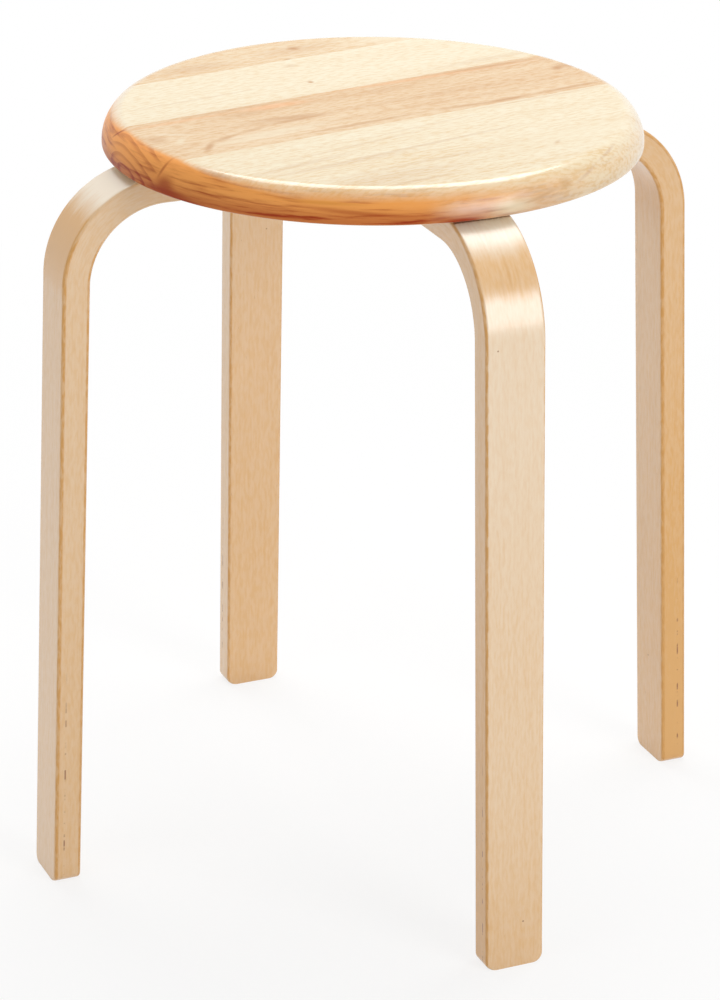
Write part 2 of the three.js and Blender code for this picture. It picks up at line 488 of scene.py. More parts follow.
# Marks of the turned edge, by colour, as draw_marks takes them. The rim_dark mark at -206 is a painted
# shadow in the gap between the seat's lower edge and the front leg's arm. The one at -32 darkens the lower
# edge at the left end.
RIM_MARKS = (
    ("rim_dark", (
        (40.5, 3.3, 5.5, 1.0, 40, 0.8), (-29, 13, 9, 6, 0, 0.7), (-24, 6, 6, 1.4, 70, 0.6),
        (-32, 17, 22, 3, 0, 0.9), (-150, 12.5, 38, 1.6, -4, 0.5), (-206, 18.4, 15, 2.2, 0, 1.0),
        (-222, 8.9, 12, 0.9, 0, 0.35), (-293, 7.8, 12.4, 1.2, 14, 0.22),
        (-321, 3, 16, 0.9, 6, 0.2))),
    # The next two marks, and the cream mark at -237 below them, are a painted reflection of the front
    # softbox on the front of the edge.
    ("painted_reflection_pink", ((-214, 13, 24, 4.5, 0, 0.5), (-244, 9.4, 10, 3, 0, 0.3))),
    ("cream", ((-237, 14.5, 17, 5, 0, 0.65), (-300, 11, 20, 3, -8, 0.3))),
    ("knot", ((-274, 9.0, 6, 3.5, 0, 0.4), (-256, 12, 14, 1.2, 10, 0.3), (-130, 8, 26, 1.2, 0, 0.3))),
)


def stain_rim(tree, colour, grain, facing):
    """Colours the turned edge, deep orange at the left end and in front, and pale at the right. Gives
    the new colour and how much of the stain shows. Facing is the height of the normal."""
    node = partial(add, tree)
    colours = bpy.context.scene.stool_colours
    seat = bpy.context.scene.stool_seat
    outward = node("ShaderNodeVectorMath", {0: grain, 1: (-1, 1, -1)}, operation="MULTIPLY")
    left, back, depth = node("ShaderNodeSeparateXYZ", {0: outward}).outputs
    turn = node("ShaderNodeMath", {0: back, 1: left}, operation="ARCTAN2")
    around = node("ShaderNodeMath", {0: turn, 1: seat.diameter / 2 / MM}, operation="MULTIPLY")
    rim_place = node("ShaderNodeCombineXYZ", {0: around, 1: depth})
    away = node("ShaderNodeMath", {0: around}, operation="ABSOLUTE")
    blotches = patches(tree, rim_place, RIM_BLOTCHES, RIM_SEED)
    streaks = patches(tree, rim_place, RIM_STREAKS, RIM_SEED, detail=5.0)

    # How much of the stain shows: more with depth, less to the right, and none underneath
    soak_depth = node("ShaderNodeMapRange", {"Value": away, **RIM_SOAK})
    reached = node("ShaderNodeMath", {0: depth, 1: soak_depth}, operation="DIVIDE", use_clamp=True)
    fading = swayed(tree, away, blotches, RIM_FADE_SWAY)
    strength = sum_tones(tree, 1.0, [(fading, *row) for row in RIM_FADES])
    outside = node("ShaderNodeMapRange", {"Value": facing, **RIM_OUTSIDE})
    share = node("ShaderNodeMath", {0: reached, 1: strength}, operation="MULTIPLY")
    share = node("ShaderNodeMath", {0: share, 1: outside}, operation="MULTIPLY")

    # Arcs of the end grain, long streaks, and a darker lower edge
    offset = node("ShaderNodeMath", {0: around, 1: END_ARCS_MIDDLE}, operation="SUBTRACT")
    offset = node("ShaderNodeMath", {0: offset}, operation="ABSOLUTE")
    near = sum_tones(tree, 1.0, ((offset, *END_ARCS_FADE),))
    arcs = rings_round(tree, rim_place, sway=blotches, sway_reach=END_ARCS_SWAY, **END_ARCS)
    arcs = node("ShaderNodeMath", {0: arcs, 1: near}, operation="MULTIPLY")
    tone = sum_tones(tree, 0.0, (
        (arcs, *END_ARCS_TONE), (streaks, *RIM_STREAK_TONE), (depth, *RIM_DARKENING)))
    stained = node("ShaderNodeMix", {
        0: tone, FIRST: to_linear(colours.rim), SECOND: to_linear(colours.rim_dark)}, data_type="RGBA")
    colour = node("ShaderNodeMix", {0: share, FIRST: colour, SECOND: stained}, data_type="RGBA")
    marked = colour
    # Some of these marks are painted light: a painted shadow under the seat's edge over the front leg's
    # arm, and a painted reflection of the front softbox on the front of the edge.
    for mark_colour, marks in RIM_MARKS:
        marked = draw_marks(tree, marked, rim_place, streaks, marks, getattr(colours, mark_colour))
    below_top = node("ShaderNodeMapRange", {"Value": depth, **RIM_MARKS_BEGIN})
    return node("ShaderNodeMix", {0: below_top, FIRST: colour, SECOND: marked}, data_type="RGBA"), share


def seat_material(name, light, dark, board):
    """Edge-glued solid wood, sanded and clear lacquered."""
    # It gives the eye long arches of growth rings on the face, soft bands and short pores, knots where
    # the board has them, and a warmer and duller turned edge, under a clear gloss.
    material, tree = new_material(name)
    node = partial(add, tree)
    colours = bpy.context.scene.stool_colours
    seat = bpy.context.scene.stool_seat
    coords = node("ShaderNodeTexCoord")
    grain = node("ShaderNodeMapping", {
        "Vector": coords.outputs["Object"], "Location": (0, 0, -STOOL_TOP / MM),
        "Rotation": (0, 0, -seat.grain_turn), "Scale": TO_MM}, vector_type="POINT")
    across = node("ShaderNodeSeparateXYZ", {0: grain}).outputs["Y"]
    facing = node("ShaderNodeSeparateXYZ", {0: coords.outputs["Normal"]}).outputs["Z"]
    bands = patches(tree, grain, BANDS, board["seed"], detail=3.0)
    warp = patches(tree, grain, WARP, board["seed"])
    streaks = patches(tree, grain, STREAKS, board["seed"], detail=4.0)
    fibres = patches(tree, grain, FIBRES, board["seed"], detail=3.0)
    late = rings_round(
        tree, grain, (0, *board["heart"]), board["slant"], (FAR, board["ring"], board["ring"]),
        warp, board["wobble"] / board["ring"])
    bent = swayed(tree, across, bands, BAND_SWAY)
    tone = sum_tones(tree, board["base"], (
        (bands, *BAND_RANGE, board["bands"]), (late, 0.0, 1.0, board["rings"]),
        (streaks, *STREAK_RANGE, board["streaks"]), (fibres, *FIBRE_TONE),
        *((bent, *row) for row in board["across_tones"])))
    colour = node("ShaderNodeMix", {
        0: tone, FIRST: to_linear(light), SECOND: to_linear(dark)}, data_type="RGBA")
    for mark_colour, marks in board["marks"]:
        colour = draw_marks(tree, colour, grain, streaks, marks, getattr(colours, mark_colour))
    colour, stain = stain_rim(tree, colour, grain, facing)
    roughness = sum_tones(tree, SEAT_ROUGHNESS, ((fibres, *SEAT_ROUGHER),))
    coat = sum_tones(tree, 1.0, ((stain, *STAIN_DULLNESS), (facing, *TOP_DULLNESS)))
    lacquer(tree, colour, roughness, streaks, coat, SEAT_COAT_ROUGHNESS)
    return material


# Patterns of the veneers, in millimetres along, across and into the leg. Plies are as thick as real
# ones. Real pores, flecks and glue seams are finer than shows, so the mottle, flecks and seams are
# drawn as coarse as they need to be to show.
VENEER_STREAKS = (67, 1.7, 3.3)
VENEER_ARCHES = (167, 14, 20)
VENEER_FLECKS = (5, 0.7, 0.7)
VENEER_MOTTLE = (7, 1.6, 1.6)
GAP_LENGTHS = (9, FAR, FAR)
ARCH_LINES = 9
WARMTH_SWAY = 22
PLY = 1.5
SEAM_DEPTH = 5.6

# How they show, as tones and ranges. The seams' gaps are dark up to a height over the foot, and the
# arris is golden by its distance from the side and from the face.
VENEER_BASE = -0.06
VENEER_STREAK_TONE = (0.38, 0.75, 0.09)
VENEER_MOTTLE_TONE = (0.38, 0.66, 0.12)
ARCH_RANGE = (0.6, 1.0)
FLECK_TONE = (0.76, 0.82, 0.5)
SEAM_TONE = (0.84, 1.0, 0.12)
GAP_TONE = (0.50, 0.58, 1.0)
GAP_WIDTH = (0.2, 0.7, -1.0)
GAP_STRENGTH = 0.85
GAP_FADE = (70.0, 150.0, -GAP_STRENGTH)
EDGE_REACH = (0.35, 1.1, -1.0)
ARRIS_BASE = 0.55
ARRIS_MOTTLE = (0.35, 0.62, 0.45)
ARRIS_FROM_SIDE = (0.8, 1.5, -1.0)
ARRIS_FROM_FACE = (1.6, 2.5, -1.0)


def plywood_material(name, veneer):
    """Moulded hardwood plywood, clear lacquered."""
    # It gives the eye a veneer face with long fine grain and few flecks, a golden line where the eased
    # arris cuts the outer veneer, and a sawn edge with faint seams and dark gaps in one of them.
    material, tree = new_material(name)
    node = partial(add, tree)
    colours = bpy.context.scene.stool_colours
    leg = bpy.context.scene.stool_leg
    pale, warm, band, glue = (
        to_linear(getattr(colours, tone)) for tone in ("ply_pale", "ply_warm", "ply_band", "glue"))
    seed = veneer["seed"]
    swept = node("ShaderNodeAttribute", attribute_name="grain")
    grain = node("ShaderNodeMapping", {
        "Vector": swept.outputs["Vector"], "Scale": TO_MM}, vector_type="POINT")
    along, across, depth = node("ShaderNodeSeparateXYZ", {0: grain}).outputs

    # Face veneer
    streaks = patches(tree, grain, VENEER_STREAKS, seed, detail=4.0)
    arches = patches(tree, grain, VENEER_ARCHES, seed)
    flecks = patches(tree, grain, VENEER_FLECKS, seed, detail=1.0)
    mottle = patches(tree, grain, VENEER_MOTTLE, seed)
    lines = node("ShaderNodeMath", {0: arches, 1: ARCH_LINES}, operation="MULTIPLY")
    lines = node("ShaderNodeMath", {0: lines}, operation="FRACT")
    fine = sum_tones(tree, VENEER_BASE, (
        (streaks, *VENEER_STREAK_TONE), (mottle, *VENEER_MOTTLE_TONE),
        (lines, *ARCH_RANGE, veneer["figure"])))
    uneven = swayed(tree, along, arches, WARMTH_SWAY)
    # Up the shank the face grows paler, partly its own tone and partly painted light from above. On the
    # front and left bends this also paints highlights and a reflection.
    warmth_and_painted_light = sum_tones(tree, fine, [(uneven, *row) for row in veneer["face_warmth_and_painted_light"]])
    face = node("ShaderNodeMix", {0: warmth_and_painted_light, FIRST: pale, SECOND: warm}, data_type="RGBA")
    fleck = sum_tones(tree, 0.0, ((flecks, *FLECK_TONE),))
    face = node("ShaderNodeMix", {0: fleck, FIRST: face, SECOND: glue}, data_type="RGBA")
    # On the front leg, one of these marks is a painted shadow across the arm under the seat's edge.
    for mark_colour, marks in veneer["marks"]:
        face = draw_marks(tree, face, grain, streaks, marks, getattr(colours, mark_colour))

    # Sawn edge: core plies, faint seams, and dark gaps in one of them
    # The sawn edge grows paler up the leg, partly its own tone and partly painted light from above.
    edge_warmth_and_painted_light = sum_tones(tree, fine, [(along, *row) for row in veneer["edge_warmth_and_painted_light"]])
    edge = node("ShaderNodeMix", {0: edge_warmth_and_painted_light, FIRST: pale, SECOND: warm}, data_type="RGBA")
    plies = node("ShaderNodeMath", {0: depth, 1: PLY}, operation="DIVIDE")
    plies = node("ShaderNodeMath", {0: plies}, operation="FRACT")
    seams = sum_tones(tree, 0.0, ((plies, *SEAM_TONE),))
    edge = node("ShaderNodeMix", {0: seams, FIRST: edge, SECOND: band}, data_type="RGBA")
    gaps = patches(tree, grain, GAP_LENGTHS, seed, detail=3.0)
    off_seam = node("ShaderNodeMath", {0: depth, 1: SEAM_DEPTH}, operation="SUBTRACT")
    off_seam = node("ShaderNodeMath", {0: off_seam}, operation="ABSOLUTE")
    gap = sum_tones(tree, 0.0, ((gaps, *GAP_TONE),))
    for start, row in ((1.0, (off_seam, *GAP_WIDTH)), (GAP_STRENGTH, (along, *GAP_FADE))):
        part = sum_tones(tree, start, (row,))
        gap = node("ShaderNodeMath", {0: gap, 1: part}, operation="MULTIPLY")
    edge = node("ShaderNodeMix", {0: gap, FIRST: edge, SECOND: glue}, data_type="RGBA")

    # Golden line where the eased arris cuts through the outer veneers
    off_middle = node("ShaderNodeMath", {0: across}, operation="ABSOLUTE")
    from_side = node("ShaderNodeMath", {0: leg.width / MM / 2, 1: off_middle}, operation="SUBTRACT")
    from_inner = node("ShaderNodeMath", {0: leg.thickness / MM, 1: depth}, operation="SUBTRACT")
    from_face = node("ShaderNodeMath", {0: depth, 1: from_inner}, operation="MINIMUM")
    on_edge = sum_tones(tree, 1.0, ((from_side, *EDGE_REACH),))
    colour = node("ShaderNodeMix", {0: on_edge, FIRST: face, SECOND: edge}, data_type="RGBA")
    near_side = sum_tones(tree, ARRIS_BASE, ((mottle, *ARRIS_MOTTLE), (from_side, *ARRIS_FROM_SIDE)))
    near_face = sum_tones(tree, 1.0, ((from_face, *ARRIS_FROM_FACE),))
    arris = node("ShaderNodeMath", {0: near_side, 1: near_face}, operation="MULTIPLY", use_clamp=True)
    # The arris fades where a painted highlight lies on the bend.
    shown = sum_tones(tree, 1.0, [(along, *row) for row in veneer["arris_fades_under_highlights"]])
    arris = node("ShaderNodeMath", {0: arris, 1: shown}, operation="MULTIPLY")
    colour = node("ShaderNodeMix", {0: arris, FIRST: colour, SECOND: band}, data_type="RGBA")
    roughness = sum_tones(tree, LEG_ROUGHNESS, ((streaks, *LEG_ROUGHER),))
    lacquer(tree, colour, roughness, streaks, 1.0, LEG_COAT_ROUGHNESS)
    return material


# Real mottle of the zinc is finer than shows, and is drawn as coarse as it needs to be to show.
ZINC_MOTTLE = (0.8, 0.8, 0.8)
ZINC_DULLNESS = (0.35, 0.70, 1.0)
ZINC_ROUGHNESS = 0.28
ZINC_ROUGHER = (0.30, 0.70, 0.14)


def zinc_material():
    """Zinc-plated steel."""
    # It gives the eye a bright grey with a soft mottle, half dull and half shining.
    material, tree = new_material("zinc plated steel")
    coords = add(tree, "ShaderNodeTexCoord")
    place = add(tree, "ShaderNodeMapping", {
        "Vector": coords.outputs["Object"], "Scale": TO_MM}, vector_type="POINT")
    mottle = patches(tree, place, ZINC_MOTTLE, 0.0)
    colours = bpy.context.scene.stool_colours
    dullness = sum_tones(tree, 0.0, ((mottle, *ZINC_DULLNESS),))
    colour = add(tree, "ShaderNodeMix", {
        0: dullness, FIRST: to_linear(colours.zinc), SECOND: to_linear(colours.zinc_dull)},
        data_type="RGBA")
    shader = add(tree, "ShaderNodeBsdfPrincipled", {
        "Base Color": colour,
        "Metallic": 1.0,
        "Roughness": sum_tones(tree, ZINC_ROUGHNESS, ((mottle, *ZINC_ROUGHER),)),
    })
    add(tree, "ShaderNodeOutputMaterial", {"Surface": shader})
    return material


# What each board is like, from the front one to the back one, in millimetres and degrees in the
# grain's frame. The growth rings have their heart's place across the seat and height over the top,
# their slant, how far they stray, and their spacing. The base tone is where the others start from. A
# tone across begins and ends at places across the seat. Marks are as draw_marks takes them.
BOARD_GRAIN = (
    {"seed": 2.0, "heart": (-150, -95), "slant": -5.7, "wobble": 14, "ring": 9,
     "base": 0.0, "bands": 0.26, "rings": 0.08, "streaks": 0.24, "across_tones": (),
     "marks": (
         ("cream", ((70, -101.5, 60, 22, 1, 0.4),)),
         ("knot", ((-62, -115.8, 62, 16, -1.3, 0.22), (-25, -101, 70, 3, 2, 0.22),
                   (-50, -127.5, 30, 2, 1, 0.34), (52, -109.8, 5, 2, 39, 0.41))))},
    {"seed": 17.0, "heart": (-52, -34), "slant": 2.9, "wobble": 16, "ring": 9,
     "base": -0.05, "bands": 0.20, "rings": 0.06, "streaks": 0.20, "across_tones": ((-42, -33, 0.08),),
     "marks": (
         ("knot", ((-95, -72.4, 46, 4.5, 6.7, 0.27), (-12, -76, 75, 2.2, 3.8, 0.32),
                   (-45, -57.5, 75, 1.8, 6, 0.22), (0, -46.7, 60, 1.6, 5, 0.16),
                   (88, -34.5, 60, 1.8, 0, 0.27), (-70, -82, 60, 5, 1, 0.22))),)},
    {"seed": 31.0, "heart": (12, -24), "slant": -4.6, "wobble": 12, "ring": 7,
     "base": 0.06, "bands": 0.24, "rings": 0.10, "streaks": 0.24,
     "across_tones": ((-9, 1, 0.05), (21, 33, 0.16)),
     "marks": (
         ("rim", ((-48, 29.5, 26, 6, -3, 0.45), (60, 33.5, 80, 3, -2, 0.35), (-110, 31, 40, 3, 0, 0.3))),
         ("cream", ((-74, -15, 52, 8, 3, 0.5), (-124, 11, 13, 3, -30, 0.45), (-126, -1, 10, 3, 55, 0.45))),
         ("knot", ((-118, -19, 10.5, 2.8, 49, 0.81), (-102, -9, 12, 2.6, 17, 0.61),
                   (-80, -3.2, 14, 2.4, 12, 0.54), (-50, 0.5, 22, 3, 3, 0.68),
                   (-54, 6.5, 26, 3.4, -11, 0.54), (-60, 4, 34, 8, -4, 0.27),
                   (-137, 7, 8, 8, 0, 0.47), (-70, 35.5, 46, 2.6, -1, 0.41),
                   (-70, 24, 20, 5, 0, 0.27), (24, 24, 22, 6, 0, 0.2), (92, 34, 60, 2.6, -2, 0.47),
                   (100, 33, 30, 2.6, -2, 0.47), (-20, -24.5, 50, 2.4, 1, 0.61),
                   (46, -26, 26, 2.6, -6, 0.61), (74, -27.5, 18, 3, 0, 0.88),
                   (118, -26.3, 34, 2.4, 1, 0.68), (134, 10, 5, 4, 30, 1), (144, 12, 11, 8, 0, 0.61),
                   (40, 2, 80, 3, -1, 0.2), (70, -12, 60, 3, 1, 0.16))))},
    {"seed": 45.0, "heart": (90, -80), "slant": -2.3, "wobble": 12, "ring": 9,
     "base": -0.05, "bands": 0.12, "rings": 0.05, "streaks": 0.14, "across_tones": ((50, 38, 0.14),),
     "marks": (
         ("knot", ((-6, 59.5, 2.4, 2.6, 0, 0.94), (-80, 63, 50, 1.6, 1, 0.24), (110, 47, 50, 5, 1, 0.22),
                   (1, 94, 6, 4, 0, 0.3))),)},
    {"seed": 63.0, "heart": (150, -60), "slant": 3.4, "wobble": 16, "ring": 7,
     "base": 0.05, "bands": 0.28, "rings": 0.08, "streaks": 0.24, "across_tones": ((112, 105, 0.14),),
     "marks": (
         ("cream", ((92, 117, 40, 18, 0, 0.5), (-85, 136, 50, 9, 12, 0.5))),
         ("knot", ((21, 124, 5, 4.5, 0, 1), (6, 106, 4, 2.4, 22, 0.68), (20, 122, 34, 10, 0, 0.27),
                   (-50, 119, 28, 10, 0, 0.3))))},
)


# What each leg's veneer is like. The figure is the strength of its arches. Warmth goes from 0, pale,
# to 1, golden, and changes between places in millimetres from the foot, on the face and on the sawn
# edge. The right, back and front faces and every sawn edge grow paler up the leg. That is partly the
# veneer's own tone and partly painted light from the lamps above. Pale stretches on the front and left
# bends are painted highlights. The arris fades between such places too. Marks are as draw_marks
# takes them.
VENEERS = {
    "right": {"seed": 5.0, "figure": 0.03, "arris_fades_under_highlights": (),
              "edge_warmth_and_painted_light": ((-20, -10, 1.04), (0, 400, -0.30)),
              "marks": (("glue", ((67, 1, 0.7, 0.7, 0, 1.0),)),),
              "face_warmth_and_painted_light": ((-40, -30, 0.74), (60, 330, -0.18), (350, 400, 0.40))},
    "back": {"seed": 16.0, "figure": 0.02, "arris_fades_under_highlights": (),
             "edge_warmth_and_painted_light": ((-20, -10, 0.65), (0, 400, -0.05)),
             "marks": (("glue", ((317, -6, 0.7, 0.7, 0, 1.0),)),),
             "face_warmth_and_painted_light": ((-40, -30, 0.72), (60, 400, -0.16))},
    # The left leg's pale top of the bend, from 405 mm, is a painted highlight, and its arris fades under
    # it.
    "left": {"seed": 27.0, "figure": 0.03, "arris_fades_under_highlights": ((392, 412, -0.85),),
             "edge_warmth_and_painted_light": ((-20, -10, 0.68), (0, 400, -0.14)), "marks": (),
             "face_warmth_and_painted_light": ((-40, -30, 0.72), (250, 350, 0.06), (362, 376, 0.30), (405, 432, -1.15))},
    # The front leg's face turns paler from 150 mm up towards the bend, a painted reflection, and pale
    # again at the bend's top from 416 mm, a painted highlight, with a tan band between them. Its arris
    # fades under the top one.
    "front": {"seed": 38.0, "figure": 0.05, "arris_fades_under_highlights": ((400, 450, -0.5),),
              "edge_warmth_and_painted_light": ((-20, -10, 0.98), (0, 400, -0.30)),
              "face_warmth_and_painted_light": ((-40, -30, 0.66), (0, 130, -0.18), (150, 350, -0.20), (392, 402, 0.46),
                              (416, 434, -0.7)),
              "marks": (
                  ("ply_band", ((408, 1, 16, 1.4, 0, 0.35), (405, -4, 12, 1.2, 0, 0.2),
                                (404, 6, 12, 1.2, 0, 0.2))),
                  # The glue mark at 448 mm, across the whole width, is a painted shadow on the arm under
                  # the seat's edge.
                  ("glue", ((448, 0, 1.6, 90, 0, 0.9), (368, -11, 0.6, 0.6, 0, 0.9),
                            (25, 5, 0.7, 0.7, 0, 0.9))))},
}


def board_tones(colours):
    """Light and dark tone of each board, front one first."""
    cream = (colours.cream, colours.cream_dark)
    return (cream, cream, (colours.rosy, colours.rosy_dark), cream, (colours.tan, colours.tan_dark))


def seat_profile(seat):
    """Half section of the seat: flat underside, small round, upright edge, one deep arc that an eased
    crease ends, and the flat top."""
    radius = seat.diameter / 2
    low = under_height(seat)
    drop = seat.thickness - seat.under_round - seat.edge_straight
    arc = (seat.round_width ** 2 + drop ** 2) / (2 * seat.round_width)
    middle = Vector((radius - arc, STOOL_TOP - drop))
    points = [(0.0, low)]
    for i in range(UNDER_STEPS + 1):
        turn = math.pi / 2 * i / UNDER_STEPS
        points.append((radius - seat.under_round * (1 - math.sin(turn)),
                       low + seat.under_round * (1 - math.cos(turn))))
    last_turn = math.asin((drop - seat.crease) / (arc - seat.crease))
    for i in range(ROUND_STEPS + 1):
        turn = last_turn * i / ROUND_STEPS
        points.append((middle.x + arc * math.cos(turn), middle.y + arc * math.sin(turn)))
    crease_x = middle.x + (arc - seat.crease) * math.cos(last_turn)
    for i in range(1, CREASE_STEPS + 1):
        turn = last_turn + (math.pi / 2 - last_turn) * i / CREASE_STEPS
        points.append((crease_x + seat.crease * math.cos(turn),
                       STOOL_TOP - seat.crease * (1 - math.sin(turn))))
    points.append((0.0, points[-1][1]))
    return points


class STOOL_OT_seat_boards(bpy.types.Operator):
    """Turn the seat and saw it along its glue joints"""

    bl_idname = "stool.seat_boards"
    bl_label = "Seat Boards"

    def execute(self, context):
        seat = context.scene.stool_seat
        colours = context.scene.stool_colours
        radius = seat.diameter / 2
        across = Matrix.Rotation(seat.grain_turn, 3, "Z") @ Vector((0, 1, 0))
        joints = [share * radius for share in seat.joint_shares]
        lows = [None, *joints]
        highs = [*joints, None]
        for name, low, high, tones, grain in zip(
                BOARDS, lows, highs, board_tones(colours), BOARD_GRAIN):
            solid = lathe(seat_profile(seat), SEAT_SEGMENTS)
            if low is not None:
                saw(solid, across * low, -across)
            if high is not None:
                saw(solid, across * high, across)
            board = new_object(name + "_wood", finish_mesh(solid, name + "_wood"))
            material = seat_material("lacquered solid wood " + name[-1], *tones, grain)
            place_piece(board, material, [name])
        return {"FINISHED"}


# Legs

def leg_tree():
    """A section swept along foot, bend and arm, less the countersunk holes at the given points."""
    tree = new_geometry_tree("bent leg", (
        ("Foot", "Vector"), ("Corner", "Vector"), ("Arm End", "Vector"), ("Bend Radius", "Float"),
        ("Width", "Float"), ("Thickness", "Float"), ("Arris", "Float"), ("Tool", "Object"),
        ("Material", "Material")))
    entry = add(tree, "NodeGroupInput").outputs
    shank = add(tree, "GeometryNodeCurvePrimitiveLine", {"Start": entry["Foot"], "End": entry["Corner"]})
    arm = add(tree, "GeometryNodeCurvePrimitiveLine", {"Start": entry["Corner"], "End": entry["Arm End"]})
    both = add(tree, "GeometryNodeJoinGeometry", {0: [arm, shank]})
    wire = add(tree, "GeometryNodeCurveToMesh", {"Curve": both})
    merged = add(tree, "GeometryNodeMergeByDistance", {"Geometry": wire})
    path = add(tree, "GeometryNodeMeshToCurve", {"Mesh": merged})
    bent = add(tree, "GeometryNodeFilletCurve", {
        "Curve": path, "Count": BEND_STEPS, "Radius": entry["Bend Radius"]}, mode="POLY")
    outline = add(tree, "GeometryNodeCurvePrimitiveQuadrilateral", {
        "Width": entry["Width"], "Height": entry["Thickness"]})
    section = add(tree, "GeometryNodeFilletCurve", {
        "Curve": outline, "Count": ARRIS_STEPS, "Radius": entry["Arris"]}, mode="POLY")
    swept = add(tree, "GeometryNodeCurveToMesh", {
        "Curve": bent, "Profile Curve": section, "Fill Caps": True})
    cutter = add(tree, "GeometryNodeObjectInfo", {"Object": entry["Tool"]})
    holes = add(tree, "GeometryNodeInstanceOnPoints", {
        "Points": entry["Geometry"], "Instance": cutter.outputs["Geometry"]})
    real_holes = add(tree, "GeometryNodeRealizeInstances", {0: holes})
    drilled = add(tree, "GeometryNodeMeshBoolean", {
        "Mesh 1": swept, "Mesh 2": real_holes}, operation="DIFFERENCE", solver="EXACT")
    whole = add(tree, "GeometryNodeRealizeInstances", {0: drilled})
    finished = add(tree, "GeometryNodeSetMaterial", {"Geometry": whole, "Material": entry["Material"]})
    add(tree, "NodeGroupOutput", {"Geometry": finished})
    return tree


def grain_of(point, seat, leg):
    """Distance along the leg, across it and in from its outer face, for the leg that stands on +X."""
    centre = Vector((bend_start(seat, leg), bend_height(seat, leg)))
    offset = Vector((point.x, point.z)) - centre
    outer = outer_bend(leg)
    face_normal = Vector((math.cos(leg.lean), math.sin(leg.lean)))
    up_shank = Vector((-math.sin(leg.lean), math.cos(leg.lean)))
    shank = centre.y / math.cos(leg.lean)
    sweep = math.pi / 2 - leg.lean
    turn = math.atan2(offset.y, offset.x) - leg.lean
    if offset.dot(up_shank) <= 0 and offset.x > 0:
        return (shank + offset.dot(up_shank), point.y, outer - offset.dot(face_normal))
    if offset.x <= 0:
        return (shank + sweep * outer - offset.x, point.y, outer - offset.y)
    return (shank + turn * outer, point.y, outer - offset.length)


def round_foot(solid, leg):
    """Saws the foot level and rounds its lower corners."""
    saw(solid, Vector((0, 0, 0)), Vector((0, 0, -1)))
    corner = leg.foot_corner
    for i in range(1, CORNER_STEPS + 1):
        height = corner * (1 - math.cos(math.pi / 2 * i / CORNER_STEPS))
        saw(solid, Vector((0, 0, height)), Vector((0, 0, 1)), keep_both=True)
    half = leg.width / 2
    for vert in solid.verts:
        if vert.co.z < corner:
            left = corner - max(vert.co.z, 0.0)
            allowed = half - corner + math.sqrt(max(corner * corner - left * left, 0.0))
            vert.co.y *= allowed / half


class STOOL_OT_legs(bpy.types.Operator):
    """Bend the four legs, drill them and saw their feet"""

    bl_idname = "stool.legs"
    bl_label = "Bent Legs"

    def execute(self, context):
        seat = context.scene.stool_seat
        leg = context.scene.stool_leg
        screw = context.scene.stool_screw
        middle = leg.inner_bend + leg.thickness / 2
        arm_height = under_height(seat) - leg.thickness / 2
        foot_middle = FOOT_RADIUS - leg.thickness / 2 / math.cos(leg.lean)
        below = leg.thickness
        foot = Vector((foot_middle + below * math.tan(leg.lean), 0, -below))
        corner = Vector((foot_middle - arm_height * math.tan(leg.lean), 0, arm_height))
        arm_end = Vector((leg.arm_end, 0, arm_height))

        wide = screw.head / 2 + screw.room
        narrow = screw.diameter / 2 + screw.room
        shoulder = screw.recess + screw.rim
        hole = lathe([
            (0, -OVERRUN), (wide, -OVERRUN), (wide, shoulder), (narrow, shoulder + wide - narrow),
            (narrow, leg.thickness + OVERRUN), (0, leg.thickness + OVERRUN)], SCREW_SEGMENTS)
        cutter = new_object("hole cutter", finish_mesh(hole, "hole cutter"))
        places = [place - Vector((0, 0, screw.recess)) for place in screw_places()["right"]]
        materials = {
            side: plywood_material("lacquered moulded plywood " + side, VENEERS[side])
            for side in SIDES}
        mesh = run_tree(leg_tree(), places, cutter, {
            "Foot": foot, "Corner": corner, "Arm End": arm_end, "Bend Radius": middle,
            "Width": leg.width, "Thickness": leg.thickness, "Arris": leg.arris,
            "Material": materials["right"]})
        solid = bmesh.new()
        solid.from_mesh(mesh)
        bmesh.ops.remove_doubles(solid, verts=solid.verts, dist=MERGE_DISTANCE)
        round_foot(solid, leg)
        shape = finish_mesh(solid, "bent leg")
        along = shape.attributes.new("grain", "FLOAT_VECTOR", "POINT")
        along.data.foreach_set(
            "vector", [value for vert in shape.vertices for value in grain_of(vert.co, seat, leg)])
        for i, side in enumerate(SIDES):
            name = "leg_" + side
            turned = shape.copy()
            turned.transform(Matrix.Rotation(i * math.pi / 2, 4, "Z"))
            piece = new_object(name + "_plywood", turned)
            place_piece(piece, materials[side], [name])
        return {"FINISHED"}


# Screws

